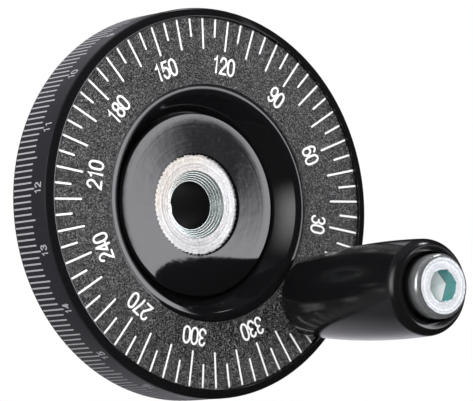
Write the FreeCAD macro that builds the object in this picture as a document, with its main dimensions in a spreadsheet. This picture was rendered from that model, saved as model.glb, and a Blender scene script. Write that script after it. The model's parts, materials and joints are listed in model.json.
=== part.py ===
import FreeCAD, Part
import os
from collections import namedtuple

import Sketcher
from FreeCAD import Vector

# Graduated machine handwheel with a revolving handle, in millimetres.
#
# Each piece is drawn with the wheel lying face up: its own Z runs along the wheel's axis from the
# back of the hub (0) to the front, and its own X points from the axis to the handle, where the dial
# reads 0. A common placement then stands the wheel upright: the front faces -Y, +Z is up, and the
# origin is the middle of the bore in the plane of the hub's back face.

SIZES = {
    # Wheel
    "wheel_diameter": 80.0,
    "handle_angle": -37.0,         # direction of the handle, seen from the front, in degrees
    "rim_width": 12.15,            # dial face to the back edge of the rim
    "rim_wall": 4.0,               # thickness of the rim behind the web
    "rim_draft": 0.6,              # how far the inside of the rim opens towards the back
    "rim_back_chamfer": 0.4,
    "lip_width": 1.92,             # raised lip round the dial
    "lip_height": 0.4,             # its crest above the dial face
    "lip_inner_round": 0.5,
    "lip_crown": 2.4,              # radius of its top, falling from the crest to the rim
    "lip_round": 0.7,
    "web_thickness": 5.0,
    "trough_round": 1.5,
    # Dish and hub
    "dish_diameter": 45.6,
    "bead_width": 1.5,             # raised bead between the dial and the dish
    "bead_height": 0.4,            # its crest above the dial face
    "bead_outer_round": 0.4,
    "bead_crown": 2.4,             # radius of its top, falling from the crest to the dish
    "bead_inner_round": 0.35,
    "dish_depth": 6.3,             # dial face to the bottom of the dish
    "dish_wall_slope": 28.5,       # dish wall from the wheel's axis, in degrees
    "dish_floor_thickness": 4.7,
    "dish_back_wall": 3.0,
    "dish_back_slope": 4.0,
    "valley_width": 0.4,           # groove round the raised hub, at the bottom of the dish
    "valley_round": 0.25,
    "plateau_depth": 4.4,          # dial face to the raised hub's face
    "plateau_round": 0.4,
    "hub_cover": 2.4,              # moulding round the bush at the back
    "hub_root_round": 1.5,
    "hub_edge_round": 0.8,
    "bush_proud": 0.4,             # bush beyond the moulding at the back
    # Bush
    "hub_sink": 5.0,               # dial face to the front of the bush
    "hub_length": 16.0,
    "bush_diameter": 21.2,
    "bush_waist_depth": 0.8,
    "bush_waist_length": 4.0,
    "bore_diameter": 10.0,
    "bore_front_chamfer": 2.0,
    "bore_back_chamfer": 0.5,
    "mould_gap": 0.02,             # between the moulding and what is moulded in
    # Ribs and handle boss on the back
    "rib_count": 6,
    "rib_thickness": 2.5,
    "rib_inset": 1.5,              # rib below the back edge of the rim
    "boss_width": 17.0,
    "boss_inset": 0.85,
    # Dial plate
    "dial_thickness": 0.8,
    "dial_clearance": 0.1,
    "adhesive_thickness": 0.15,
    "adhesive_inset": 0.1,
    # Handle
    "insert_diameter": 12.0,
    "screw_diameter": 8.0,
    "screw_head_diameter": 13.0,
    "screw_head_height": 8.0,
    "screw_head_chamfer": 0.8,
    "screw_tip_chamfer": 0.8,
    "screw_tip_gap": 2.45,         # screw's tip above the bottom of the insert
    "socket_width": 6.0,           # across the flats
    "socket_turn": -11.0,          # a corner of it from the handle's direction, in degrees
    "socket_depth": 4.2,
    "thread_gap": 0.05,
    "sleeve_gap": 0.05,            # radial, round the screw
    "sleeve_wall": 0.45,
    "sleeve_clearance": 0.1,       # radial, in the hole through the dial
    "washer_gap": 0.3,             # radial, in the recess of the grip
    "washer_thickness": 0.5,
    "grip_length": 40.95,
    "grip_foot_diameter": 16.4,
    "grip_end_diameter": 19.3,
    "grip_crown": 205.0,           # radius of the barrel's long curve
    "grip_foot_round": 1.4,
    "grip_end_round": 1.6,
    "grip_running_gap": 0.05,      # radial, on the sleeve
    "grip_foot_gap": 0.35,         # above the bead
    "grip_end_gap": 0.2,           # below the washer
    "recess_gap": 0.7,             # radial, round the screw's head
    "recess_depth": 6.25,
    "recess_round": 0.8,
    # Set screw in the hub
    "set_screw_diameter": 5.0,
    "set_screw_length": 6.0,
    "set_screw_height": 4.0,       # above the back of the hub
    "set_screw_back_off": 0.4,     # tip short of the bore
    "set_screw_tip_chamfer": 0.8,
    "set_screw_socket_width": 2.5,
    "set_screw_socket_depth": 2.6,
    "set_screw_cover_gap": 0.3,
}

# Places along the axis, from the back of the hub
DIAL_FACE = "(Sizes.hub_length + Sizes.hub_sink)"
DIAL_BACK = f"({DIAL_FACE} - Sizes.dial_thickness)"
DIAL_FLOOR = f"({DIAL_BACK} - Sizes.adhesive_thickness)"
LIP_CREST = f"({DIAL_FACE} + Sizes.lip_height)"
BEAD_CREST = f"({DIAL_FACE} + Sizes.bead_height)"
RIM_BACK = f"({DIAL_FACE} - Sizes.rim_width)"
WEB_BACK = f"({DIAL_FLOOR} - Sizes.web_thickness)"
WEB_MIDDLE = f"({DIAL_FLOOR} - Sizes.web_thickness / 2)"
DISH_BOTTOM = f"({DIAL_FACE} - Sizes.dish_depth)"
DISH_BACK = f"({DISH_BOTTOM} - Sizes.dish_floor_thickness)"
PLATEAU = f"({DIAL_FACE} - Sizes.plateau_depth)"
WAIST_BACK = "((Sizes.hub_length - Sizes.bush_waist_length) / 2 + Sizes.set_screw_diameter / 2)"
WAIST_FRONT = f"({WAIST_BACK} + Sizes.bush_waist_length)"
BOSS_BACK = f"({RIM_BACK} + Sizes.boss_inset)"
GRIP_FOOT = f"({BEAD_CREST} + Sizes.grip_foot_gap)"
GRIP_END = f"({GRIP_FOOT} + Sizes.grip_length)"
RECESS_FLOOR = f"({GRIP_END} - Sizes.recess_depth)"
WASHER_BACK = f"({RECESS_FLOOR} + Sizes.grip_end_gap)"
HEAD_SEAT = f"({WASHER_BACK} + Sizes.washer_thickness)"
HEAD_FACE = f"({HEAD_SEAT} + Sizes.screw_head_height)"
SCREW_TIP = f"({BOSS_BACK} + Sizes.screw_tip_gap)"

# Radii from the wheel's axis
RIM = "(Sizes.wheel_diameter / 2)"
RIM_INSIDE = f"({RIM} - Sizes.rim_wall)"
DIAL_RECESS = f"({RIM} - Sizes.lip_width)"
DISH_EDGE = "(Sizes.dish_diameter / 2)"
DISH_LIP = f"({DISH_EDGE} + Sizes.bead_width)"
DISH_SKIRT = f"({DISH_EDGE} + Sizes.dish_back_wall)"
BUSH = "(Sizes.bush_diameter / 2)"
BUSH_WAIST = f"({BUSH} - Sizes.bush_waist_depth)"
BORE = "(Sizes.bore_diameter / 2)"
HUB_BOSS = f"({BUSH} + Sizes.hub_cover)"
CRANK = f"(({DIAL_RECESS} + {DISH_LIP}) / 2)"

# Radii from the handle's axis
INSERT = "(Sizes.insert_diameter / 2)"
THREAD = "(Sizes.screw_diameter / 2)"
SLEEVE_BORE = f"({THREAD} + Sizes.sleeve_gap)"
SLEEVE = f"({SLEEVE_BORE} + Sizes.sleeve_wall)"
GRIP_BORE = f"({SLEEVE} + Sizes.grip_running_gap)"
SLEEVE_HOLE = f"({SLEEVE} + Sizes.sleeve_clearance)"
HEAD = "(Sizes.screw_head_diameter / 2)"
RECESS = f"({HEAD} + Sizes.recess_gap)"

# Where the pieces stand: upright, with the handle in its direction
UPRIGHT = "rotation(vector(1; 0; 0); 90) * rotation(vector(0; 0; 1); Sizes.handle_angle)"
ON_WHEEL = f"placement(vector(0; 0; 0); {UPRIGHT})"
ON_CRANK = (
    f"placement(vector({CRANK} * cos(Sizes.handle_angle); 0; {CRANK} * sin(Sizes.handle_angle)); {UPRIGHT})"
)

LEFT = 1
RIGHT = -1
Corner = namedtuple("Corner", "across up")
Bend = namedtuple("Bend", "radius turn")


def make_sizes(doc):
    sheet = doc.addObject("Spreadsheet::Sheet", "Sizes")
    for row, (name, value) in enumerate(SIZES.items(), start=1):
        sheet.set(f"A{row}", name.replace("_", " "))
        sheet.set(f"B{row}", str(value))
        sheet.setAlias(f"B{row}", name)
    doc.recompute()
    return sheet


def number(sketch, expression):
    return float(sketch.evalExpression(expression))


def new_body(doc, label, place):
    body = doc.addObject("PartDesign::Body", label)
    body.Label = label
    body.setExpression("Placement", place)
    return body


def new_sketch(body, name, plane, height=None):
    """A sketch on one of the body's own origin planes, raised along the plane's normal if asked."""
    sketch = body.newObject("Sketcher::SketchObject", name)
    support = [feature for feature in body.Origin.OriginFeatures if feature.Role == plane]
    sketch.AttachmentSupport = (support[0], [""])
    sketch.MapMode = "FlatFace"
    if height:
        sketch.setExpression("AttachmentOffset.Base.z", height)
    return sketch


def hold(sketch, constraint, name, expression):
    index = sketch.addConstraint(constraint)
    sketch.renameConstraint(index, name)
    sketch.setExpression(f"Constraints.{name}", expression)


def bend_edge(start, end, radius, turn):
    """The shorter arc of this radius that leaves start and turns left or right to reach end."""
    chord = end - start
    side = Vector(-chord.y, chord.x, 0).normalize() * turn
    rise = max(radius**2 - (chord.Length / 2) ** 2, 0) ** 0.5
    centre = (start + end) / 2 + side * rise
    middle = centre - side * radius
    return Part.Arc(start, middle, end) if turn == LEFT else Part.Arc(end, middle, start)


def draw_loop(sketch, steps):
    """A closed outline of corners; a Bend between two corners makes the edge there an arc."""
    corners = []
    bends = {}
    for step in steps:
        if isinstance(step, Bend):
            bends[len(corners) - 1] = step
        else:
            corners.append(step)
    count = len(corners)
    spots = [Vector(number(sketch, c.across), number(sketch, c.up), 0) for c in corners]
    for edge, spot in enumerate(spots):
        end = spots[(edge + 1) % count]
        if edge in bends:
            radius = number(sketch, bends[edge].radius)
            sketch.addGeometry(bend_edge(spot, end, radius, bends[edge].turn))
        else:
            sketch.addGeometry(Part.LineSegment(spot, end))
    first = [2 if edge in bends and bends[edge].turn == RIGHT else 1 for edge in range(count)]
    for edge, corner in enumerate(corners):
        before = (edge - 1) % count
        ends = (before, 3 - first[before], edge, first[edge])
        sketch.addConstraint(Sketcher.Constraint("Coincident", *ends))
        origin = (-1, 1, edge, first[edge])
        across = Sketcher.Constraint("DistanceX", *origin, spots[edge].x)
        hold(sketch, across, f"across_{edge}", corner.across)
        up = Sketcher.Constraint("DistanceY", *origin, spots[edge].y)
        hold(sketch, up, f"up_{edge}", corner.up)
    for edge, bend in bends.items():
        radius = Sketcher.Constraint("Radius", edge, number(sketch, bend.radius))
        hold(sketch, radius, f"bend_{edge}", bend.radius)


def draw_circle(sketch, across, up, radius):
    centre = Vector(number(sketch, across), number(sketch, up), 0)
    size = number(sketch, radius)
    circle = sketch.addGeometry(Part.Circle(centre, Vector(0, 0, 1), size))
    hold(sketch, Sketcher.Constraint("DistanceX", -1, 1, circle, 3, centre.x), "across", across)
    hold(sketch, Sketcher.Constraint("DistanceY", -1, 1, circle, 3, centre.y), "up", up)
    hold(sketch, Sketcher.Constraint("Radius", circle, size), "radius", radius)


def draw_hexagon(sketch, width, turned="0"):
    """A hexagon round the origin with a corner along the sketch's own X, or turned from it."""
    point = f"{width} / sqrt(3)"
    corners = []
    for side in range(6):
        angle = f"({turned} + {60 * side})"
        corners.append(Corner(f"{point} * cos({angle})", f"{point} * sin({angle})"))
    draw_loop(sketch, corners)


def turn(body, steps):
    """Revolve a half section, drawn as radius and height, round the body's own Z."""
    sketch = new_sketch(body, "Section", "XZ_Plane")
    draw_loop(sketch, steps)
    revolution = body.newObject("PartDesign::Revolution", "Turned")
    revolution.Profile = sketch
    revolution.ReferenceAxis = (sketch, ["V_Axis"])
    revolution.Angle = 360
    body.Document.recompute()
    return revolution


def cut(body, sketch, name, depth=None):
    """Cut against the sketch's normal, to a depth or right through, and make sure that it bites."""
    before = body.Shape.Volume
    pocket = body.newObject("PartDesign::Pocket", name)
    pocket.Profile = sketch
    if depth:
        pocket.setExpression("Length", depth)
    else:
        pocket.Type = "ThroughAll"
    body.Document.recompute()
    if body.Shape.Volume >= before:
        raise RuntimeError(f"{name} cuts nothing from {body.Label}")
    return pocket


def raise_pad(body, sketch, name, length):
    pad = body.newObject("PartDesign::Pad", name)
    pad.Profile = sketch
    pad.setExpression("Length", length)
    body.Document.recompute()
    return pad


def ring(body, inside, outside, bottom, top):
    turn(body, [
        Corner(inside, bottom),
        Corner(outside, bottom),
        Corner(outside, top),
        Corner(inside, top),
    ])


def lip_steps():
    """The lip from the rim inwards: a round, a crown that rises to the crest, and a round to the dial."""
    crest = f"({DIAL_RECESS} + Sizes.lip_inner_round)"
    centre = f"({LIP_CREST} - Sizes.lip_crown)"
    inside = "(Sizes.lip_crown - Sizes.lip_round)"
    sine = f"((Sizes.lip_width - Sizes.lip_inner_round - Sizes.lip_round) / {inside})"
    cosine = f"sqrt(1 - {sine} ^ 2)"
    return [
        Corner(RIM, f"{centre} + {inside} * {cosine}"),
        Bend("Sizes.lip_round", LEFT),
        Corner(f"{crest} + Sizes.lip_crown * {sine}", f"{centre} + Sizes.lip_crown * {cosine}"),
        Bend("Sizes.lip_crown", LEFT),
        Corner(crest, LIP_CREST),
        Bend("Sizes.lip_inner_round", LEFT),
        Corner(DIAL_RECESS, f"{LIP_CREST} - Sizes.lip_inner_round"),
    ]


def bead_and_dish_steps():
    """The bead from the dial inwards, its crown falling into the dish, and the raised hub within."""
    slope = "Sizes.dish_wall_slope"
    crest = f"({DISH_LIP} - Sizes.bead_outer_round)"
    centre = f"({BEAD_CREST} - Sizes.bead_crown)"
    inside = "(Sizes.bead_crown - Sizes.bead_inner_round)"
    edge_round = f"({DISH_EDGE} + Sizes.bead_inner_round * cos({slope}))"
    sine = f"(({crest} - {edge_round}) / {inside})"
    cosine = f"sqrt(1 - {sine} ^ 2)"
    edge = f"({centre} + {inside} * {cosine} + Sizes.bead_inner_round * sin({slope}))"
    foot = f"({DISH_EDGE} - ({edge} - {DISH_BOTTOM}) * tan({slope}))"
    plateau_edge = f"({foot} - Sizes.valley_width)"
    return [
        Corner(DISH_LIP, f"{BEAD_CREST} - Sizes.bead_outer_round"),
        Bend("Sizes.bead_outer_round", LEFT),
        Corner(crest, BEAD_CREST),
        Bend("Sizes.bead_crown", LEFT),
        Corner(f"{crest} - Sizes.bead_crown * {sine}", f"{centre} + Sizes.bead_crown * {cosine}"),
        Bend("Sizes.bead_inner_round", LEFT),
        Corner(DISH_EDGE, edge),
        Corner(foot, DISH_BOTTOM),
        Bend("Sizes.valley_round", RIGHT),
        Corner(plateau_edge, DISH_BOTTOM),
        Corner(plateau_edge, f"{PLATEAU} - Sizes.plateau_round"),
        Bend("Sizes.plateau_round", LEFT),
        Corner(f"{plateau_edge} - Sizes.plateau_round", PLATEAU),
    ]


def make_wheel_body(doc):
    body = new_body(doc, "wheel_body", ON_WHEEL)
    hub_hole = f"({BUSH} + Sizes.mould_gap)"
    waist_hole = f"({BUSH_WAIST} + Sizes.mould_gap)"
    trough = f"({RIM_INSIDE} - Sizes.rim_draft)"
    turn(body, [
        # back of the hub and the dish
        Corner(hub_hole, "Sizes.bush_proud"),
        Corner(f"{HUB_BOSS} - Sizes.hub_edge_round", "Sizes.bush_proud"),
        Bend("Sizes.hub_edge_round", LEFT),
        Corner(HUB_BOSS, "Sizes.bush_proud + Sizes.hub_edge_round"),
        Corner(HUB_BOSS, f"{DISH_BACK} - Sizes.hub_root_round"),
        Bend("Sizes.hub_root_round", RIGHT),
        Corner(f"{HUB_BOSS} + Sizes.hub_root_round", DISH_BACK),
        Corner(f"{DISH_SKIRT} - Sizes.dish_back_slope", DISH_BACK),
        Corner(DISH_SKIRT, WEB_BACK),
        # trough inside the rim
        Corner(f"{trough} - Sizes.trough_round", WEB_BACK),
        Bend("Sizes.trough_round", RIGHT),
        Corner(trough, f"{WEB_BACK} - Sizes.trough_round"),
        Corner(RIM_INSIDE, RIM_BACK),
        # rim and its lip
        Corner(f"{RIM} - Sizes.rim_back_chamfer", RIM_BACK),
        Corner(RIM, f"{RIM_BACK} + Sizes.rim_back_chamfer"),
        *lip_steps(),
        # recess of the dial
        Corner(DIAL_RECESS, DIAL_FLOOR),
        Corner(DISH_LIP, DIAL_FLOOR),
        *bead_and_dish_steps(),
        # hole that the bush fills
        Corner(hub_hole, PLATEAU),
        Corner(hub_hole, WAIST_FRONT),
        Corner(waist_hole, f"{WAIST_FRONT} - Sizes.bush_waist_depth"),
        Corner(waist_hole, f"{WAIST_BACK} + Sizes.bush_waist_depth"),
        Corner(hub_hole, WAIST_BACK),
    ])
    add_ribs(body)
    add_handle_boss(body)
    hole = new_sketch(body, "SetScrewHole", "YZ_Plane")
    clear = "Sizes.set_screw_diameter / 2 + Sizes.set_screw_cover_gap"
    draw_circle(hole, "0", "Sizes.set_screw_height", clear)
    cut(body, hole, "SetScrewCover")
    return body


def add_ribs(body):
    rib = new_sketch(body, "RibPlan", "XY_Plane", f"{RIM_BACK} + Sizes.rib_inset")
    root = f"({DISH_SKIRT} - Sizes.dish_back_slope)"
    reach = f"({RIM_INSIDE} + Sizes.rim_draft)"
    half = "Sizes.rib_thickness / 2"
    draw_loop(rib, [
        Corner(root, f"-{half}"),
        Corner(reach, f"-{half}"),
        Corner(reach, half),
        Corner(root, half),
    ])
    length = f"{WEB_MIDDLE} - {RIM_BACK} - Sizes.rib_inset"
    pad = raise_pad(body, rib, "Rib", length)
    pattern = body.newObject("PartDesign::PolarPattern", "Ribs")
    pattern.Originals = [pad]
    pattern.Axis = (rib, ["N_Axis"])
    pattern.Angle = 360
    pattern.setExpression("Occurrences", "Sizes.rib_count")
    body.Tip = pattern
    body.Document.recompute()


def add_handle_boss(body):
    """A round-nosed boss between the web and the rim, bored for the handle's insert."""
    boss = new_sketch(body, "BossPlan", "XY_Plane", BOSS_BACK)
    half = "Sizes.boss_width / 2"
    reach = f"({RIM_INSIDE} + Sizes.rim_draft)"
    draw_loop(boss, [
        Corner(CRANK, f"-{half}"),
        Corner(reach, f"-{half}"),
        Corner(reach, half),
        Corner(CRANK, half),
        Bend(half, LEFT),
        Corner(f"{CRANK} - {half}", "0"),
        Bend(half, LEFT),
    ])
    raise_pad(body, boss, "HandleBoss", f"{WEB_MIDDLE} - {BOSS_BACK}")
    hole = new_sketch(body, "InsertHole", "XY_Plane", DIAL_FLOOR)
    draw_circle(hole, CRANK, "0", f"{INSERT} + Sizes.mould_gap")
    cut(body, hole, "InsertSeat")


def make_hub_bush(doc):
    body = new_body(doc, "hub_bush", ON_WHEEL)
    turn(body, [
        Corner(f"{BORE} + Sizes.bore_back_chamfer", "0"),
        Corner(BUSH, "0"),
        Corner(BUSH, WAIST_BACK),
        Corner(BUSH_WAIST, f"{WAIST_BACK} + Sizes.bush_waist_depth"),
        Corner(BUSH_WAIST, f"{WAIST_FRONT} - Sizes.bush_waist_depth"),
        Corner(BUSH, WAIST_FRONT),
        Corner(BUSH, "Sizes.hub_length"),
        Corner(f"{BORE} + Sizes.bore_front_chamfer", "Sizes.hub_length"),
        Corner(BORE, "Sizes.hub_length - Sizes.bore_front_chamfer"),
        Corner(BORE, "Sizes.bore_back_chamfer"),
    ])
    hole = new_sketch(body, "SetScrewHole", "YZ_Plane")
    draw_circle(hole, "0", "Sizes.set_screw_height", "Sizes.set_screw_diameter / 2 + Sizes.thread_gap")
    cut(body, hole, "SetScrewThread")
    return body


def make_dial_plate(doc):
    body = new_body(doc, "dial_plate", ON_WHEEL)
    inside = f"({DISH_LIP} + Sizes.dial_clearance)"
    outside = f"({DIAL_RECESS} - Sizes.dial_clearance)"
    ring(body, inside, outside, DIAL_BACK, DIAL_FACE)
    add_sleeve_hole(body, DIAL_FACE)
    return body


def make_dial_adhesive_ring(doc):
    body = new_body(doc, "dial_adhesive_ring", ON_WHEEL)
    inset = "(Sizes.dial_clearance + Sizes.adhesive_inset)"
    ring(body, f"{DISH_LIP} + {inset}", f"{DIAL_RECESS} - {inset}", DIAL_FLOOR, DIAL_BACK)
    add_sleeve_hole(body, DIAL_BACK)
    return body


def add_sleeve_hole(body, height):
    hole = new_sketch(body, "SleeveHole", "XY_Plane", height)
    draw_circle(hole, CRANK, "0", SLEEVE_HOLE)
    cut(body, hole, "SleeveWay")


def make_handle_insert(doc):
    body = new_body(doc, "handle_insert", ON_CRANK)
    ring(body, f"{THREAD} + Sizes.thread_gap", INSERT, BOSS_BACK, DIAL_FLOOR)
    return body


def make_handle_sleeve(doc):
    body = new_body(doc, "handle_sleeve", ON_CRANK)
    ring(body, SLEEVE_BORE, SLEEVE, DIAL_FLOOR, WASHER_BACK)
    return body


def make_thrust_washer(doc):
    """A washer that the screw's head clamps on the sleeve, so that it keeps the grip on."""
    body = new_body(doc, "thrust_washer", ON_CRANK)
    ring(body, SLEEVE_BORE, f"{RECESS} - Sizes.washer_gap", WASHER_BACK, HEAD_SEAT)
    return body


def make_handle_screw(doc):
    body = new_body(doc, "handle_screw", ON_CRANK)
    turn(body, [
        Corner("0", SCREW_TIP),
        Corner(f"{THREAD} - Sizes.screw_tip_chamfer", SCREW_TIP),
        Corner(THREAD, f"{SCREW_TIP} + Sizes.screw_tip_chamfer"),
        Corner(THREAD, HEAD_SEAT),
        Corner(HEAD, HEAD_SEAT),
        Corner(HEAD, f"{HEAD_FACE} - Sizes.screw_head_chamfer"),
        Corner(f"{HEAD} - Sizes.screw_head_chamfer", HEAD_FACE),
        Corner("0", HEAD_FACE),
    ])
    socket = new_sketch(body, "SocketPlan", "XY_Plane", HEAD_FACE)
    draw_hexagon(socket, "Sizes.socket_width", "Sizes.socket_turn")
    cut(body, socket, "Socket", "Sizes.socket_depth")
    return body


def make_handle_grip(doc):
    body = new_body(doc, "handle_grip", ON_CRANK)
    foot = "(Sizes.grip_foot_diameter / 2)"
    end = "(Sizes.grip_end_diameter / 2)"
    turn(body, [
        Corner(GRIP_BORE, GRIP_FOOT),
        Corner(f"{foot} - Sizes.grip_foot_round", GRIP_FOOT),
        Bend("Sizes.grip_foot_round", LEFT),
        Corner(foot, f"{GRIP_FOOT} + Sizes.grip_foot_round"),
        Bend("Sizes.grip_crown", LEFT),
        Corner(end, f"{GRIP_END} - Sizes.grip_end_round"),
        Bend("Sizes.grip_end_round", LEFT),
        Corner(f"{end} - Sizes.grip_end_round", GRIP_END),
        Corner(f"{RECESS} + Sizes.recess_round", GRIP_END),
        Bend("Sizes.recess_round", LEFT),
        Corner(RECESS, f"{GRIP_END} - Sizes.recess_round"),
        Corner(RECESS, RECESS_FLOOR),
        Corner(GRIP_BORE, RECESS_FLOOR),
    ])
    return body


def make_hub_set_screw(doc):
    """A socket set screw lying across the hub, opposite the handle, backed off clear of the shaft."""
    tip = f"({BORE} + Sizes.set_screw_back_off)"
    across = f"vector(cos(Sizes.handle_angle); 0; sin(Sizes.handle_angle)) * -{tip}"
    lying = f"{UPRIGHT} * rotation(vector(0; 1; 0); -90)"
    place = f"placement({across} + vector(0; -Sizes.set_screw_height; 0); {lying})"
    body = new_body(doc, "hub_set_screw", place)
    radius = "(Sizes.set_screw_diameter / 2)"
    turn(body, [
        Corner("0", "0"),
        Corner(f"{radius} - Sizes.set_screw_tip_chamfer", "0"),
        Corner(radius, "Sizes.set_screw_tip_chamfer"),
        Corner(radius, "Sizes.set_screw_length"),
        Corner("0", "Sizes.set_screw_length"),
    ])
    socket = new_sketch(body, "SocketPlan", "XY_Plane", "Sizes.set_screw_length")
    draw_hexagon(socket, "Sizes.set_screw_socket_width")
    cut(body, socket, "Socket", "Sizes.set_screw_socket_depth")
    return body


def check(doc, pieces):
    """Stop before writing anything if a feature failed or a piece isn't one valid solid."""
    for thing in doc.Objects:
        if "Invalid" in thing.State or "Error" in thing.State:
            raise RuntimeError(f"{thing.Name} failed: {thing.State}")
    for piece in pieces:
        shape = piece.Shape
        if shape.isNull() or not shape.isValid() or len(shape.Solids) != 1:
            raise RuntimeError(f"{piece.Label} isn't one valid solid")


def main():
    doc = FreeCAD.newDocument("handwheel")
    make_sizes(doc)
    makers = [
        make_wheel_body,
        make_hub_bush,
        make_dial_plate,
        make_dial_adhesive_ring,
        make_handle_insert,
        make_handle_sleeve,
        make_thrust_washer,
        make_handle_screw,
        make_handle_grip,
        make_hub_set_screw,
    ]
    pieces = [make(doc) for make in makers]
    doc.recompute()
    check(doc, pieces)
    os.makedirs("parts", exist_ok=True)
    for piece in pieces:
        piece.Shape.exportStep(f"parts/{piece.Label}.step")
        print(f"{piece.Label}: {piece.Shape.Volume:.1f} mm3, {piece.Shape.BoundBox}")


main()
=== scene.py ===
import json
import math
import random
from collections import namedtuple

import bmesh
import bpy
from mathutils import Matrix, Vector


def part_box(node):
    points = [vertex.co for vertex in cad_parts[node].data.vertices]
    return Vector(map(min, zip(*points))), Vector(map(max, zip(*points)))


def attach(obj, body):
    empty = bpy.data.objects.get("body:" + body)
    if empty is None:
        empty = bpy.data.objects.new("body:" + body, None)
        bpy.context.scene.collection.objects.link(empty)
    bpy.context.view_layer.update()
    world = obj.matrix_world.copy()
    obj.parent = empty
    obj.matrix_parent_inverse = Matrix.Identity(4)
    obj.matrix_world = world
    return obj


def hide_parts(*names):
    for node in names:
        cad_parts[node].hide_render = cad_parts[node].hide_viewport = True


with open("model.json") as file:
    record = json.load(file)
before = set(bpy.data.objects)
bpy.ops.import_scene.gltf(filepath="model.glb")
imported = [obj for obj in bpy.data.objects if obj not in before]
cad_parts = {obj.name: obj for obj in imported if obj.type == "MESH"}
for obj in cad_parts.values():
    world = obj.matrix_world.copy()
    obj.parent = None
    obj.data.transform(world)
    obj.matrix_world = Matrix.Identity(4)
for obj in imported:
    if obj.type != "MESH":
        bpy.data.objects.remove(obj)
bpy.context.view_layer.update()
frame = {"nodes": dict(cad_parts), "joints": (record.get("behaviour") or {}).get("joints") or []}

# Graduated machine handwheel: looks, print, light and camera over the fixed frame.
#
# Everything is in metres in the row frame: the wheel's axis runs along Y, the dial faces -Y, +Z is up.
# Angles round the wheel are taken seen from the front, from +X towards +Z.

MM = 0.001
NODES = frame["nodes"]
SEED = 7


def spots(node, axis=(0.0, 0.0)):
    """Distance from an axis along Y, depth and direction of each corner of a node."""
    found = []
    for vertex in NODES[node].data.vertices:
        across = vertex.co.x - axis[0]
        up = vertex.co.z - axis[1]
        found.append((math.hypot(across, up), vertex.co.y, math.atan2(up, across)))
    return found


def reach(node, axis=(0.0, 0.0)):
    """Least and greatest distance of a node from an axis along Y, then its front and its back."""
    radii = [radius for radius, _, _ in spots(node, axis)]
    depths = [depth for _, depth, _ in spots(node, axis)]
    return min(radii), max(radii), min(depths), max(depths)


# Sizes that tell the frame's places apart
NEAR = 0.003 * MM                               # spots closer than this count as one
SOCKET_REACH = 3.7 * MM                         # the screw's socket and tip lie within this
HUB_REACH = 19.3 * MM                           # the raised hub in the dish lies within this
DISH_DEPTH = 6.3 * MM                           # from the dial to the foot of the dish's wall
DIAL_GAP = 0.1 * MM                             # from the dial plate to the dish's rim
LIP_RISE = 0.3 * MM                             # the lip's inner foot lies within this of the dial
HUB_GAP = 0.1 * MM                              # the moulding's hole round the bush is within this of it

# Places read from the frame
HANDLE_X, _, HANDLE_Z = frame["joints"][0]["pos_m"]
HANDLE_AXIS = (HANDLE_X, HANDLE_Z)
HANDLE_ANGLE = math.degrees(math.atan2(HANDLE_Z, HANDLE_X))
WHEEL_SPOTS = spots("wheel_body")
SCREW_SPOTS = spots("handle_screw", HANDLE_AXIS)
_, RIM, _, _ = reach("wheel_body")
RIM_FRONT = min(depth for radius, depth, _ in WHEEL_SPOTS if radius > RIM - NEAR)
RIM_BACK = max(depth for radius, depth, _ in WHEEL_SPOTS if radius > RIM - NEAR)
DIAL_INNER, DIAL_OUTER, DIAL_FACE, _ = reach("dial_plate")
BORE, BUSH, BUSH_FACE, BUSH_BACK = reach("hub_bush")
_, HEAD, HEAD_FACE, SCREW_TIP = reach("handle_screw", HANDLE_AXIS)
THREAD = min(radius for radius, _, _ in SCREW_SPOTS if radius > SOCKET_REACH)
HEAD_SEAT = max(depth for radius, depth, _ in SCREW_SPOTS if radius > HEAD - NEAR)
SOCKET_CORNER, _, SOCKET_TURN = max(
    spot for spot in SCREW_SPOTS if spot[0] < SOCKET_REACH and spot[1] < HEAD_SEAT
)
SOCKET_DEPTH = 3.45 * MM                        # a little less than the CAD's, as the photograph shows
SET_SCREW_LOW, SET_SCREW_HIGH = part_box("hub_set_screw")
GRIP_BORE, _, GRIP_END, GRIP_FOOT = reach("handle_grip", HANDLE_AXIS)
_, _, _, WASHER_BACK = reach("thrust_washer", HANDLE_AXIS)
DISH_LIP = DIAL_INNER - DIAL_GAP
LIP_FLOOR = max(depth for radius, depth, _ in WHEEL_SPOTS if abs(radius - DISH_LIP) < NEAR)
DISH_FOOT_DEPTH, DISH_FOOT = max(
    (depth, radius) for radius, depth, _ in WHEEL_SPOTS
    if HUB_REACH < radius < DISH_LIP and depth < DIAL_FACE + DISH_DEPTH + NEAR
)
DIAL_RECESS, LIP_FOOT = min(
    (radius, depth) for radius, depth, _ in WHEEL_SPOTS
    if radius > DIAL_OUTER and depth < DIAL_FACE + LIP_RISE
)
PLATEAU, HUB_HOLE = min(
    (depth, radius) for radius, depth, _ in WHEEL_SPOTS if radius < BUSH + HUB_GAP
)

# Printed scales
INK = 0.02 * MM
INK_STEP = 0.002 * MM                           # each stroke of a figure over the one before it
PRINT_SHIFT = Vector((-0.27 * MM, 0.5 * MM))    # print's centre from the wheel's, as the photograph shows
PRINT_TURN = -1.0                               # scales' zero from the handle's direction, in degrees
PRINT_ZERO = HANDLE_ANGLE + PRINT_TURN

# Camera at the photograph's viewing angle
CAMERA_AZIMUTH = -35.86
CAMERA_ELEVATION = -5.0
CAMERA_ROLL = -0.55
CAMERA_DISTANCE = 0.7311
CAMERA_AIM = Vector((6.64 * MM, DIAL_FACE, 0.73 * MM))
CAMERA_LENS = 271.4


# Meshes

SHARP = 30.0      # edges that turn by more degrees than this stay sharp


def new_piece(name, mesh, body, slot, *materials):
    piece = bpy.data.objects.new(name, mesh)
    bpy.context.scene.collection.objects.link(piece)
    for material in materials:
        mesh.materials.append(material)
    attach(piece, body)
    return piece


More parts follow.
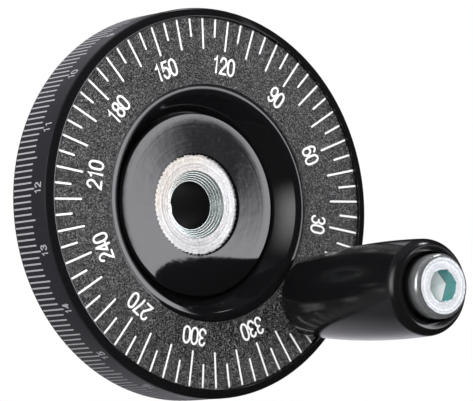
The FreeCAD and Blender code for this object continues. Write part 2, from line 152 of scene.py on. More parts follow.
def mesh_from(build, name, sharp=SHARP):
    """The mesh that a bmesh builder fills, smooth but for edges sharper than the angle in degrees."""
    shape = bmesh.new()
    build(shape)
    bmesh.ops.recalc_face_normals(shape, faces=shape.faces)
    mesh = bpy.data.meshes.new(name)
    shape.to_mesh(mesh)
    shape.free()
    mesh.shade_smooth()
    mesh.set_sharp_from_angle(angle=math.radians(sharp))
    return mesh


def skin(shape, rings, closed=True):
    """Quads between rings of vertices; a closed skin joins the last ring to the first."""
    count = len(rings[0])
    pairs = zip(rings, rings[1:] + rings[:1]) if closed else zip(rings, rings[1:])
    for low, high in pairs:
        for step in range(count):
            after = (step + 1) % count
            shape.faces.new((low[step], low[after], high[after], high[step]))


def bored(mesh, start, end, radius):
    """A copy of a closed mesh with a round hole from start to end."""
    along = end - start
    cutter = bmesh.new()
    turned = along.to_track_quat("Z", "Y").to_matrix().to_4x4()
    middle = Matrix.Translation((start + end) / 2) @ turned
    ends = {"radius1": radius, "radius2": radius, "depth": along.length}
    bmesh.ops.create_cone(cutter, cap_ends=True, segments=48, matrix=middle, **ends)
    drill = bpy.data.meshes.new("drill")
    cutter.to_mesh(drill)
    cutter.free()
    body = bpy.data.objects.new("body", mesh)
    tool = bpy.data.objects.new("tool", drill)
    for thing in (body, tool):
        bpy.context.scene.collection.objects.link(thing)
    cut = body.modifiers.new("hole", "BOOLEAN")
    cut.object = tool
    cut.solver = "EXACT"
    result = bpy.data.meshes.new_from_object(body.evaluated_get(bpy.context.evaluated_depsgraph_get()))
    for thing in (body, tool):
        bpy.data.objects.remove(thing)
    return result


# Figures, drawn as strokes of one width

def arc(centre, radii, start, end, steps=14):
    angles = [math.radians(start + (end - start) * step / steps) for step in range(steps + 1)]
    return [(centre[0] + radii[0] * math.cos(a), centre[1] + radii[1] * math.sin(a)) for a in angles]


def loop(centre, radii):
    """A closed ring: its first spot comes again as its last."""
    return arc(centre, radii, 0, 360, 28)


def figure_strokes(figure):
    """Middle lines of a figure in a box from -1 to 1 across and 0 to 1 up."""
    if figure == "0":
        return [arc((0, 0.66), (1, 0.34), 0, 180) + arc((0, 0.34), (1, 0.34), 180, 360) + [(1, 0.66)]]
    if figure == "1":
        return [[(-0.45, 0.79), (0.05, 0.85), (0.30, 1.0), (0.30, 0.0)]]
    if figure == "2":
        return [arc((0, 0.71), (0.92, 0.29), 172, -32) + [(-0.62, 0.16), (-0.92, 0.0), (0.98, 0.0)]]
    if figure == "3":
        return [arc((0, 0.765), (0.86, 0.235), 165, -95), arc((0, 0.27), (0.98, 0.27), 95, -165)]
    if figure == "4":
        return [[(0.42, 0.0), (0.42, 1.0)], [(0.42, 1.0), (-1.0, 0.27), (1.0, 0.27)]]
    if figure == "5":
        return [[(0.85, 1.0), (-0.62, 1.0), (-0.80, 0.52)] + arc((0, 0.32), (0.98, 0.32), 140, -160)]
    if figure == "6":
        return [loop((0, 0.30), (0.98, 0.30)), arc((0, 0.62), (0.98, 0.38), 42, 180) + [(-0.98, 0.32)]]
    if figure == "7":
        return [[(-0.95, 1.0), (0.95, 1.0), (0.35, 0.62), (-0.10, 0.28), (-0.25, 0.0)]]
    if figure == "8":
        return [loop((0, 0.765), (0.84, 0.235)), loop((0, 0.27), (0.98, 0.27))]
    return [[(-x, 1 - y) for x, y in stroke] for stroke in figure_strokes("6")]


def stroke_edges(line, width):
    """Left and right edge of a stroke along a line: mitred corners, round ends, closed loops joined."""
    points = [Vector(spot) for spot in line]
    closed = (points[0] - points[-1]).length < width / 100
    if closed:
        points.pop()
    edges = []
    for index, spot in enumerate(points):
        before = points[index - 1] if index or closed else spot
        after = points[(index + 1) % len(points)] if index + 1 < len(points) or closed else spot
        arriving = (spot - before).normalized() if before != spot else (after - spot).normalized()
        leaving = (after - spot).normalized() if after != spot else arriving
        along = (arriving + leaving).normalized()
        half = width / 2 / max(along.dot(leaving), 0.5)
        edges.append((spot, along, half))
    if not closed:
        edges = round_end(edges[0], -1)[::-1] + edges + round_end(edges[-1], 1)
    sides = []
    for spot, along, half in edges:
        across = Vector((-along.y, along.x)) * half
        sides.append((spot + across, spot - across))
    return sides, closed


def round_end(edge, way):
    """Ever shorter crossings beyond the end of a stroke."""
    spot, along, half = edge
    found = []
    for lean in (30, 58, 80):
        turned = math.radians(lean)
        found.append((spot + along * way * half * math.sin(turned), along, half * math.cos(turned)))
    return found


def ribbon(shape, line, width, place, rise):
    """A thin closed slab of ink along a line; place turns across, up and height into a point."""
    sides, closed = stroke_edges(line, width)
    rings = []
    for left, right in sides:
        corners = ((left, -INK), (right, -INK), (right, INK + rise), (left, INK + rise))
        rings.append([shape.verts.new(place(spot.x, spot.y, height)) for spot, height in corners])
    skin(shape, rings, closed)
    if not closed:
        shape.faces.new(rings[0])
        shape.faces.new(reversed(rings[-1]))


def write_number(shape, number, height, width, pitch, stroke, place):
    """Figures of one height in a row centred on the place's own origin, feet at minus half the height."""
    word = str(number)
    start = -pitch * (len(word) - 1) / 2
    for index, figure in enumerate(word):
        middle = start + index * pitch
        for layer, line in enumerate(figure_strokes(figure)):
            drawn = [(middle + x * (width - stroke) / 2, (y - 0.5) * (height - stroke)) for x, y in line]
            ribbon(shape, drawn, stroke, place, layer * INK_STEP)


def on_dial(angle, radius):
    """Across and up on the dial, at a radius from the print's centre, up pointing outwards."""
    turned = math.radians(angle)
    out = Vector((math.cos(turned), 0, math.sin(turned)))
    across = Vector((math.sin(turned), 0, -math.cos(turned)))
    start = Vector((PRINT_SHIFT.x, DIAL_FACE, PRINT_SHIFT.y)) + out * radius
    return lambda x, y, height: start + across * x + out * y + Vector((0, -height, 0))


def on_rim(angle, depth):
    """Across and up on the rim's side, bent round it, up pointing to the back."""

    def place(x, y, height):
        turned = math.radians(angle) - x / RIM
        radius = RIM + height
        return Vector((radius * math.cos(turned), depth + y, radius * math.sin(turned)))

    return place


def edge_distance(angle):
    """From the print's centre to the dial's edge, which cuts the marks off."""
    turned = math.radians(angle)
    out = Vector((math.cos(turned), math.sin(turned)))
    along = PRINT_SHIFT.dot(out)
    return -along + math.sqrt(along**2 + DIAL_OUTER**2 - PRINT_SHIFT.length_squared)


def build_dial_print(shape):
    """A mark every 5 degrees, longer every 10, cut off by the dial's edge, and a figure every 30."""
    long_start = 31.0 * MM
    short_start = 33.5 * MM
    figure_middle = 28.05 * MM
    mark_width = 0.42 * MM
    rounding = mark_width / 2
    margin = 0.1 * MM
    figures = {"height": 3.75 * MM, "width": 1.95 * MM, "pitch": 1.93 * MM, "stroke": 0.46 * MM}
    for degree in range(10, 355, 5):
        angle = PRINT_ZERO + degree
        start = long_start if degree % 10 == 0 else short_start
        length = edge_distance(angle) - start - margin
        ribbon(shape, [(0, rounding), (0, length - rounding)], mark_width, on_dial(angle, start), 0)
    for degree in range(30, 360, 30):
        place = on_dial(PRINT_ZERO + degree, figure_middle)
        write_number(shape, degree, place=place, **figures)


def build_rim_print(shape):
    """Marks round the rim's side from its back edge, longer every fifth, and a figure every tenth."""
    divisions = 200
    long_mark = 7.2 * MM
    short_mark = 6.1 * MM
    figure_middle = DIAL_FACE + 2.7 * MM
    mark_width = 0.34 * MM
    start = RIM_BACK - 0.4 * MM
    figures = {"height": 2.3 * MM, "width": 1.2 * MM, "pitch": 1.3 * MM, "stroke": 0.32 * MM}
    for mark in range(divisions):
        angle = PRINT_ZERO + mark * 360 / divisions
        length = long_mark if mark % 5 == 0 else short_mark
        ribbon(shape, [(0, -length), (0, 0)], mark_width, on_rim(angle, start), 0)
        if mark % 10 == 0:
            place = on_rim(angle, figure_middle)
            write_number(shape, mark // 10, place=place, **figures)


# Turned pieces

WHEEL_STEPS = 256
GRIP_STEPS = 160
SCREW_STEPS = 96
THREAD_LENGTH = 22 * MM


def turned_rings(shape, profile, directions, axis=(0.0, 0.0), radius_at=None):
    """Rings of vertices along a profile of radius and depth pairs round an axis along Y.

    Where the form isn't round, radius_at gives the radius for a radius, a depth and a direction's number.
    """
    rings = []
    for radius, depth in profile:
        ring = []
        for step, turned in enumerate(directions):
            spread = radius_at(radius, depth, step) if radius_at else radius
            spot = (axis[0] + spread * math.cos(turned), depth, axis[1] + spread * math.sin(turned))
            ring.append(shape.verts.new(spot))
        rings.append(ring)
    return rings


def even_turn(count, start=0.0):
    return [start + 2 * math.pi * step / count for step in range(count)]


def grooved(outer, inner, front, back, grooves, depth):
    """Profile of a turned cone or face from outer and front to inner and back, scored by round grooves."""
    parts = 6
    found = []
    for step in range(grooves * parts + 1):
        share = step / (grooves * parts)
        dip = depth * math.sin(math.pi * (step % parts) / parts)
        found.append((outer + (inner - outer) * share, front + (back - front) * share + dip))
    return found


def bow(start, end, radius, steps=10):
    """Spots on a round stretch of a profile between two corners, bulging to the right of its way.

    Profiles are pairs of radius and depth, and run out from the axis at the back and in at the front.
    """
    along = Vector((end[0] - start[0], start[1] - end[1]))
    half = along.length / 2
    along.normalize()
    outward = Vector((along.y, -along.x))
    middle = Vector(((start[0] + end[0]) / 2, -(start[1] + end[1]) / 2))
    centre = middle - outward * math.sqrt(radius**2 - half**2)
    lean = math.asin(half / radius)
    found = []
    for step in range(steps + 1):
        turned = lean * (2 * step / steps - 1)
        spot = centre + (outward * math.cos(turned) + along * math.sin(turned)) * radius
        found.append((spot.x, -spot.y))
    return found


def build_grip(shape):
    """Barrel grip: a long crown, a wide round at the end and a recess with a sloping mouth."""
    foot_radius = 8.2 * MM
    foot_round = 1.4 * MM
    crown = 205 * MM
    end = GRIP_END + 1.0 * MM          # the photograph's grip ends a little short of the CAD's
    end_radius = 9.75 * MM
    end_fall = 2.4 * MM
    mouth_width = 1.2 * MM
    mouth_round = 8 * MM
    mouth_lean = math.radians(11)
    recess = HEAD + 0.7 * MM
    floor = WASHER_BACK + 0.2 * MM
    shoulder = (end_radius, end + end_fall)
    brow = (recess + mouth_width, end)
    mouth_fall = mouth_width * math.tan(mouth_lean)
    width = end_radius - brow[0]
    profile = [(GRIP_BORE, GRIP_FOOT)]
    profile += bow((foot_radius - foot_round, GRIP_FOOT), (foot_radius, GRIP_FOOT - foot_round), foot_round)
    profile += bow((foot_radius, GRIP_FOOT - foot_round), shoulder, crown, 48)[1:]
    profile += bow(shoulder, brow, (end_fall**2 + width**2) / (2 * width), 14)[1:]
    profile += bow(brow, (recess, end + mouth_fall), mouth_round)[1:]
    profile += [(recess, floor), (GRIP_BORE, floor)]
    skin(shape, turned_rings(shape, profile, even_turn(GRIP_STEPS), HANDLE_AXIS))


def dish_profile():
    """The dish from the dial inwards: land, gentle crown, straight wall, groove and raised hub."""
    crown = 4.2 * MM
    crest = 23.95 * MM
    edge = 22.3 * MM
    corner = 0.3 * MM
    steep = math.radians(61.5)         # of the wall, from the plane of the dial
    edge_depth = DISH_FOOT_DEPTH - (edge - DISH_FOOT) * math.tan(steep)
    lean = math.asin((crest - edge - corner * math.sin(steep)) / (crown - corner))
    centre = edge_depth + corner * math.cos(steep) + (crown - corner) * math.cos(lean)
    land = centre - crown
    inner = (crest - (crown - corner) * math.sin(lean), centre - (crown - corner) * math.cos(lean))
    brim = 0.06 * MM
    found = [(DISH_LIP, LIP_FLOOR - brim), (DISH_LIP, land + brim), (DISH_LIP - brim, land)]
    for step in range(13):
        turned = lean * step / 12
        found.append((crest - crown * math.sin(turned), centre - crown * math.cos(turned)))
    for step in range(1, 9):
        turned = lean + (steep - lean) * step / 8
        found.append((inner[0] - corner * math.sin(turned), inner[1] - corner * math.cos(turned)))
    return found + hub_face_profile()


def hub_face_profile():
    """Groove at the foot of the wall, then the raised hub: round edge and a face that rises to the bush."""
    groove_width = 0.4 * MM
    groove_depth = 0.1 * MM
    edge_round = 0.4 * MM
    rise = math.tan(math.radians(0.83))
    found = []
    for step in range(9):
        share = step / 8
        dip = groove_depth * 4 * share * (1 - share)
        found.append((DISH_FOOT - groove_width * share, DISH_FOOT_DEPTH + dip))
    edge = DISH_FOOT - groove_width
    brow = PLATEAU + rise * (edge - edge_round - HUB_HOLE)
    for step in range(11):
        turned = math.pi / 2 * step / 10
        inwards = edge_round * (1 - math.cos(turned))
        found.append((edge - inwards, brow + edge_round * (1 - math.sin(turned))))
    for share in (0.25, 0.5, 0.75, 0.98):
        radius = edge - edge_round + (HUB_HOLE - edge + edge_round) * share
        found.append((radius, PLATEAU + rise * (radius - HUB_HOLE)))
    return found


def lip_profile():
    """The lip from the rim inwards: a round, a slope, a narrow crest leaning to the dial, a small round."""
    rounding = 0.6 * MM
    slope = math.radians(25)
    lean = math.tan(math.radians(8))
    crest_width = 0.12 * MM
    inner = 0.15 * MM
    found = []
    for step in range(1, 11):
        turned = math.pi / 2 - (math.pi / 2 - slope) * step / 10
        outwards = rounding * math.sin(turned)
        found.append((RIM - rounding + outwards, RIM_FRONT - rounding * math.cos(turned)))
    crest_radius = DIAL_RECESS + inner + crest_width
    crest = found[-1][1] - (found[-1][0] - crest_radius) * math.tan(slope)
    found.append((crest_radius, crest))
    brow = crest + crest_width * lean
    for step in range(7):
        turned = math.pi / 2 * step / 6
        found.append((DIAL_RECESS + inner * (1 - math.sin(turned)), brow + inner * (1 - math.cos(turned))))
    return found


def zip_rings(shape, first, second):
    """Triangles between two rings of unlike counts, taken round by their angle."""

    def around(ring):
        found = {round(math.atan2(vertex.co.z, vertex.co.x), 5): vertex for vertex in ring}
        return sorted(found.items())

    def ahead(ring, place):
        angle, vertex = ring[place % len(ring)]
        return angle + 2 * math.pi * (place // len(ring)), vertex

    low = around(first)
    high = around(second)
    i = 0
    j = 0
    while i < len(low) or j < len(high):
        here = ahead(low, i)[1]
        there = ahead(high, j)[1]
        next_low = ahead(low, i + 1)
        next_high = ahead(high, j + 1)
        if j == len(high) or (i < len(low) and next_low[0] < next_high[0]):
            shape.faces.new((here, next_low[1], there))
            i += 1
        else:
            shape.faces.new((here, next_high[1], there))
            j += 1


def recut_wheel():
    """The CAD wheel with its lip and its dish turned anew, as the photograph shows them."""
    dish_back = DISH_FOOT_DEPTH + 0.2 * MM
    shape = bmesh.new()
    shape.from_mesh(NODES["wheel_body"].data)

    def radius_of(vertex):
        return math.hypot(vertex.co.x, vertex.co.z)

    def in_dish(face):
        radii = [radius_of(vertex) for vertex in face.verts]
        in_front = all(vertex.co.y < dish_back for vertex in face.verts)
        return in_front and min(radii) > HUB_HOLE - NEAR and max(radii) < DISH_LIP + NEAR

    def in_lip(face):
        radii = [radius_of(vertex) for vertex in face.verts]
        in_front = all(vertex.co.y < RIM_FRONT + NEAR for vertex in face.verts)
        return in_front and min(radii) > DIAL_RECESS - NEAR and max(radii) > DIAL_RECESS + NEAR

    def ring_at(radius, depth):
        return [v for v in shape.verts if abs(radius_of(v) - radius) < NEAR and abs(v.co.y - depth) < NEAR]

    old = [face for face in shape.faces if in_dish(face) or in_lip(face)]
    bmesh.ops.delete(shape, geom=old, context="FACES")
    turn_anew(shape, ring_at(DISH_LIP, LIP_FLOOR), dish_profile(), ring_at(HUB_HOLE, PLATEAU))
    turn_anew(shape, ring_at(RIM, RIM_FRONT), lip_profile(), ring_at(DIAL_RECESS, LIP_FOOT))
    add_flash(shape)
    mesh = bpy.data.meshes.new("moulded_wheel")
    shape.to_mesh(mesh)
    shape.free()
    return mesh


def turn_anew(shape, outer, profile, inner):
    """Turned faces along a profile from one ring of old vertices to another, facing the front."""
    kept = set(shape.faces)
    rings = turned_rings(shape, profile, even_turn(WHEEL_STEPS))
    zip_rings(shape, outer, rings[0])
    skin(shape, rings, closed=False)
    zip_rings(shape, rings[-1], inner)
    added = [face for face in shape.faces if face not in kept]
    bmesh.ops.recalc_face_normals(shape, faces=added)
    foremost = min(added, key=lambda face: face.calc_center_median().y)
    if foremost.normal.y > 0:
        bmesh.ops.reverse_faces(shape, faces=added)
    for face in added:
        face.smooth = True
        for edge in face.edges:
            edge.smooth = edge.calc_face_angle(math.pi) < math.radians(SHARP)


def knurl_cuts():
    """How far the bush's ragged knurl falls back from its radius, direction by direction."""
    teeth = 66
    points = 8
    dice = random.Random(SEED)
    depths = [dice.uniform(0.12, 0.48) * MM for _ in range(teeth)]
    cuts = []
    for step in range(teeth * points):
        phase = (step % points) / points
        valley = depths[step // points] * max(0.0, math.cos(2 * math.pi * phase)) ** 1.3
        cuts.append(valley + dice.uniform(0.0, 0.07) * MM)
    return cuts


def add_flash(shape):
    """Moulding in the valleys of the bush's knurl, flush with the hub's face."""
    gap = 0.005 * MM
    fall = 0.05 * MM
    outer = HUB_HOLE - gap
    foot = BUSH_FACE + 1.0 * MM
    cuts = knurl_cuts()

    def fitted(radius, _, step):
        return radius if radius > BUSH else BUSH - cuts[step] + gap

    profile = [(outer, PLATEAU), (BUSH, PLATEAU + fall), (BUSH, foot), (outer, foot)]
    kept = set(shape.faces)
    skin(shape, turned_rings(shape, profile, even_turn(len(cuts)), radius_at=fitted))
    added = [face for face in shape.faces if face not in kept]
    bmesh.ops.recalc_face_normals(shape, faces=added)


def build_bush(shape):
    """Knurled bush: its teeth show as a ragged edge round the turned face."""
    cuts = knurl_cuts()
    chamfer = 2.0 * MM
    chamfer_groove = 0.16 * MM
    face_start = BORE + chamfer + 0.1 * MM
    face_edge = BUSH - 0.7 * MM
    face_groove = 0.012 * MM
    lead = 0.12 * MM
    back_chamfer = 0.1 * MM

    def knurled(radius, _, step):
        return radius - cuts[step] if radius > face_edge else radius

    profile = grooved(BORE + chamfer, BORE, BUSH_FACE, BUSH_FACE + chamfer, 5, chamfer_groove)
    profile += [
        (BORE, BUSH_BACK - back_chamfer),
        (BORE + back_chamfer, BUSH_BACK),
        (face_edge, BUSH_BACK),
        (BUSH - lead, BUSH_BACK),
        (BUSH, BUSH_BACK - lead),
        (BUSH, BUSH_FACE + lead),
        (BUSH - lead, BUSH_FACE),
    ]
    profile += grooved(face_edge, face_start, BUSH_FACE, BUSH_FACE, 9, face_groove)
    skin(shape, turned_rings(shape, profile, even_turn(len(cuts)), radius_at=knurled))


def bush_mesh():
    """The knurled bush with the set screw's hole, its bore in a second material, near black as painted
    shade.
    """
    middle = (SET_SCREW_LOW + SET_SCREW_HIGH) / 2
    out = Vector((middle.x, 0, middle.z)).normalized()
    start = Vector((0, middle.y, 0))
    hole = (SET_SCREW_HIGH.y - SET_SCREW_LOW.y) / 2 + 0.05 * MM
    bore_skin = 0.02 * MM
    blank = mesh_from(build_bush, "bush_blank", sharp=40)
    mesh = bored(blank, start, start + out * 2 * BUSH, hole)
    for face in mesh.polygons:
        in_bore = math.hypot(face.center.x, face.center.z) < BORE + bore_skin
        face.material_index = 1 if in_bore else 0
    return mesh


def build_screw(shape):
    """Socket head screw: threaded shank, head with a round edge, countersunk hexagon with a drill point."""
    directions = even_turn(SCREW_STEPS, SOCKET_TURN)
    rings = screw_outside(shape, directions) + screw_socket(shape, directions)
    skin(shape, rings, closed=False)
    for ring in (rings[0], rings[-1]):
        shape.faces.new(ring)


def screw_outside(shape, directions):
    """Rings from the screw's tip along its thread and over its head."""
    edge = 0.12 * MM
    rounding = 0.9 * MM
    pitch = 1.25 * MM
    thread_depth = 0.55 * MM
    thread_end = SCREW_TIP - THREAD_LENGTH
    profile = thread_profile() + [
        (THREAD, HEAD_SEAT),
        (HEAD - edge, HEAD_SEAT),
        (HEAD, HEAD_SEAT - edge),
    ]
    profile += bow((HEAD, HEAD_FACE + rounding), (HEAD - rounding, HEAD_FACE), 1.4 * rounding)

    def threaded(radius, depth, step):
        if depth < thread_end:
            return radius
        wave = 0.5 + 0.5 * math.cos(2 * math.pi * (depth / pitch - step / SCREW_STEPS))
        return min(radius, THREAD - thread_depth * wave)

    return turned_rings(shape, profile, directions, HANDLE_AXIS, threaded)


def screw_socket(shape, directions):
    """Rings from the head's face down the countersunk hexagon to the drill point."""
    flat = SOCKET_CORNER * math.cos(math.radians(30))
    sides = []
    for step in range(SCREW_STEPS):
        off_middle = step * 360 / SCREW_STEPS % 60 - 30      # from the middle of a flat, in degrees
        sides.append(flat / math.cos(math.radians(off_middle)))
    countersink = flat + 0.22 * MM
    corner_cut = 0.03 * MM
    floor = HEAD_FACE + SOCKET_DEPTH
    floor_edge = 0.1 * MM
    drill_point = flat * math.tan(math.radians(25))

    def ring(radius_of, depth_of):
        found = []
        for turned, side in zip(directions, sides):
            across = radius_of(side) * math.cos(turned)
            up = radius_of(side) * math.sin(turned)
            found.append(shape.verts.new((HANDLE_X + across, depth_of(side), HANDLE_Z + up)))
        return found

    def sunk(side):
        return HEAD_FACE + max(countersink - side, corner_cut) * math.tan(math.radians(40))

    return [
        ring(lambda side: max(countersink, side + 0.04 * MM), lambda side: HEAD_FACE),
        ring(lambda side: side, sunk),
        ring(lambda side: side, lambda side: floor - floor_edge),
        ring(lambda side: 0.97 * side, lambda side: floor),
        ring(lambda side: 0.05 * flat, lambda side: floor + drill_point),
    ]


def thread_profile():
    """Radius and depth pairs from the screw's tip up its shank, close enough for the thread to be cut."""
    tip = 0.8 * MM
    tip_face = 0.01 * MM
    steps = 180
    length = THREAD_LENGTH + 0.5 * MM
    found = [(THREAD - tip, SCREW_TIP)]
    for step in range(steps + 1):
        up = length * step / steps
        found.append((min(THREAD, THREAD - tip + up), SCREW_TIP - up - tip_face))
    return found


# Materials

class Nodes:
    """A node tree with short ways to add and join nodes."""

    def __init__(self, tree):
        self.tree = tree

    def fill(self, node, inputs):
        for name, value in inputs.items():
            if isinstance(value, bpy.types.NodeSocket):
                self.tree.links.new(value, node.inputs[name])
            else:
                node.inputs[name].default_value = value

    def add(self, kind, inputs=None, **settings):
        node = self.tree.nodes.new(kind)
        for name, value in settings.items():
            setattr(node, name, value)
        self.fill(node, inputs or {})
        return node

    def maths(self, operation, first, second=0.0, third=0.0):
        node = self.add("ShaderNodeMath", {0: first, 1: second, 2: third}, operation=operation)
        return node.outputs[0]

    def spread(self, value, low, high, to_low=0.0, to_high=1.0, smooth=False):
        inputs = {"Value": value, "From Min": low, "From Max": high, "To Min": to_low, "To Max": to_high}
        kind = "SMOOTHSTEP" if smooth else "LINEAR"
        return self.add("ShaderNodeMapRange", inputs, interpolation_type=kind).outputs["Result"]

    def blend(self, share, first, second):
        node = self.add("ShaderNodeMix", data_type="RGBA")
        self.fill(node, {0: share})
        for socket, colour in ((node.inputs[6], first), (node.inputs[7], second)):
            if isinstance(colour, bpy.types.NodeSocket):
                self.tree.links.new(colour, socket)
            else:
                socket.default_value = (*colour, 1.0)
        return node.outputs[2]


class Finish(Nodes):
    """A material round one Principled shader."""

    def __init__(self, name, colour, roughness, metallic=0.0):
        self.material = bpy.data.materials.new(name)
        self.material.use_nodes = True
        super().__init__(self.material.node_tree)
        self.shader = self.tree.nodes["Principled BSDF"]
        self.fill(self.shader, {"Base Color": (*colour, 1.0), "Roughness": roughness, "Metallic": metallic})
        self.place = self.add("ShaderNodeTexCoord").outputs["Object"]

    def noise(self, size, detail=2.0, place=None, roughness=0.5):
        inputs = {"Scale": 1 / size, "Detail": detail, "Roughness": roughness}
        return self.add("ShaderNodeTexNoise", {"Vector": place or self.place, **inputs}).outputs["Fac"]

    def from_axis(self, axis=(0.0, 0.0)):
        """Distance from an axis along Y."""
        middle = (axis[0], 0, axis[1])
        shift = self.add("ShaderNodeVectorMath", {0: self.place, 1: middle}, operation="SUBTRACT")
        flat = self.add("ShaderNodeVectorMath", {0: shift.outputs[0], 1: (1, 0, 1)}, operation="MULTIPLY")
        return self.add("ShaderNodeVectorMath", {0: flat.outputs[0]}, operation="LENGTH").outputs["Value"]

    def along(self, name):
        """One of the place's own three numbers."""
        return self.add("ShaderNodeSeparateXYZ", {0: self.place}).outputs[name]

    def emboss(self, height, depth, under=None):
        inputs = {"Height": height, "Distance": depth, "Strength": 1.0}
        if under:
            inputs["Normal"] = under
        return self.add("ShaderNodeBump", inputs).outputs["Normal"]

    def take(self, **inputs):
        self.fill(self.shader, {name.replace("_", " "): value for name, value in inputs.items()})
        return self.material


BLACK = (0.0050, 0.0050, 0.0056)
MOULDING_IOR = 1.65


def moulded_black(name, gloss, peel):
    """Polished black thermoset: faint orange peel, fine scuffs and a slightly uneven gloss."""
    finish = Finish(name, BLACK, gloss)
    waves = finish.emboss(finish.noise(2.6 * MM, 1.0), peel)
    grain = finish.emboss(finish.noise(0.45 * MM, 2.0), 0.0012 * MM, waves)
    patches = finish.noise(6 * MM, 3.0)
    scuffs = finish.spread(finish.noise(0.9 * MM, 5.0, roughness=0.7), 0.54, 0.80, 0.0, 0.07)
    rough = finish.maths("ADD", finish.spread(patches, 0.3, 0.7, gloss * 0.8, gloss * 1.3), scuffs)
    dust = finish.spread(finish.noise(0.22 * MM, 2.0), 0.76, 0.82)
    colour = finish.blend(dust, BLACK, (0.05, 0.05, 0.052))
    finish.take(IOR=MOULDING_IOR, Base_Color=colour, Roughness=rough, Normal=grain)
    return finish, rough, colour, grain


def wheel_moulding():
    """The wheel is polished on its face, satin round the rim's side and as moulded at the back."""
    finish, rough, colour, normal = moulded_black("wheel_moulding", 0.05, 0.007 * MM)
    radius = finish.from_axis()
    track = finish.add("ShaderNodeCombineXYZ", {0: radius}).outputs[0]
    polished = finish.emboss(finish.noise(0.7 * MM, 3.0, track), 0.0035 * MM, normal)
    side = finish.spread(radius, RIM - 0.30 * MM, RIM - 0.05 * MM)
    hollow = finish.spread(finish.along("Y"), DIAL_FACE + 6.5 * MM, DIAL_FACE + 7.5 * MM)
    satin_side = finish.maths("MULTIPLY", side, 0.34)
    satin = finish.maths("MAXIMUM", satin_side, finish.maths("MULTIPLY", hollow, 0.26))
    grain = finish.noise(0.25 * MM, 3.0)
    satin_colour = finish.blend(grain, (0.008, 0.0075, 0.010), (0.020, 0.019, 0.023))
    return finish.take(
        Base_Color=finish.blend(side, colour, satin_colour),
        Roughness=finish.maths("ADD", rough, satin),
        Specular_IOR_Level=finish.spread(side, 0.0, 1.0, 0.5, 0.12),
        Normal=polished,
    )


def grip_moulding():
    finish, _, _, _ = moulded_black("grip_moulding", 0.15, 0.003 * MM)
    return finish.material


def dial_paint():
    """Textured black paint: worm-like ridges with a painted highlight on their tops and painted shade in
    the hollows between.
    """
    finish = Finish("dial_paint", (0.03, 0.03, 0.031), 0.40)
    worms = finish.noise(0.29 * MM, 0.0)
    off_middle = finish.maths("ABSOLUTE", finish.maths("SUBTRACT", worms, 0.5))
    ridges = finish.spread(off_middle, 0.10, 0.0)
    grain = finish.noise(0.18 * MM, 0.5)
    height = finish.maths("ADD", finish.maths("MULTIPLY", grain, 0.9), ridges)
    # Painted highlight and shade: the colour follows the bump's height, pale on the ridge tops and near
    # black in the hollows.
    painted_ridge_light = finish.spread(height, 0.70, 1.0)
    colour = finish.blend(painted_ridge_light, (0.0005, 0.0005, 0.0006), (0.23, 0.23, 0.232))
    normal = finish.emboss(height, 0.075 * MM)
    rough = finish.spread(grain, 0.3, 0.7, 0.36, 0.55)
    return finish.take(Base_Color=colour, Roughness=rough, Normal=normal)


def ink(name, colour):
    """Screen printed ink: a little uneven in cover."""
    finish = Finish(name, colour, 0.5)
    cover = finish.spread(finish.noise(0.25 * MM, 2.0), 0.30, 0.58)
    thin = tuple(0.88 * part for part in colour)
    normal = finish.emboss(finish.noise(0.15 * MM, 2.0), 0.003 * MM)
    return finish.take(Base_Color=finish.blend(cover, thin, colour), Normal=normal)


def turned_zinc(name, colour, tint, axis, roughness):
    """Bright zinc over a turned face: rings of tool marks round an axis and a faint colour cast."""
    finish = Finish(name, colour, roughness, metallic=1.0)
    track = finish.add("ShaderNodeCombineXYZ", {0: finish.from_axis(axis)}).outputs[0]
    fine = finish.noise(0.12 * MM, 2.0, track)
    coarse = finish.noise(0.45 * MM, 1.0, track)
    pits = finish.noise(0.30 * MM, 4.0)
    rings = finish.maths("ADD", finish.maths("MULTIPLY", fine, 0.5), coarse)
    scored = finish.emboss(rings, 0.045 * MM)
    normal = finish.emboss(pits, 0.016 * MM, scored)
    upper_left = (-0.75, 0, 0.66)
    aside = finish.add("ShaderNodeVectorMath", {0: finish.place, 1: upper_left}, operation="DOT_PRODUCT")
    towards = finish.spread(aside.outputs["Value"], 0.0, 9 * MM)
    cast = finish.maths("MULTIPLY", towards, finish.noise(3 * MM, 2.0))
    rough = finish.spread(pits, 0.3, 0.7, roughness * 0.85, roughness * 1.15)
    marks = finish.spread(finish.maths("ADD", rings, pits), 0.85, 1.35, 1.12, 0.70)
    shaded = finish.add("ShaderNodeVectorMath", {0: finish.blend(cast, colour, tint)}, operation="SCALE")
    finish.fill(shaded, {"Scale": marks})
    return finish, shaded.outputs[0], rough, normal


def bush_zinc():
    finish, colour, rough, normal = turned_zinc(
        "bush_zinc", (0.88, 0.88, 0.87), (0.88, 0.77, 0.62), (0, 0), 0.42
    )
    depth = finish.along("Y")
    chamfer = finish.spread(depth, BUSH_FACE + 0.05 * MM, BUSH_FACE + 0.25 * MM)
    cool = finish.add("ShaderNodeVectorMath", {0: colour, 1: (0.96, 1.06, 1.06)}, operation="MULTIPLY")
    return finish.take(
        Base_Color=finish.blend(chamfer, colour, cool.outputs[0]),
        Metallic=finish.spread(chamfer, 0.0, 1.0, 1.0, 0.80),
        Roughness=finish.maths("MULTIPLY", rough, finish.spread(chamfer, 0.0, 1.0, 1.0, 0.5)),
        Normal=normal,
    )


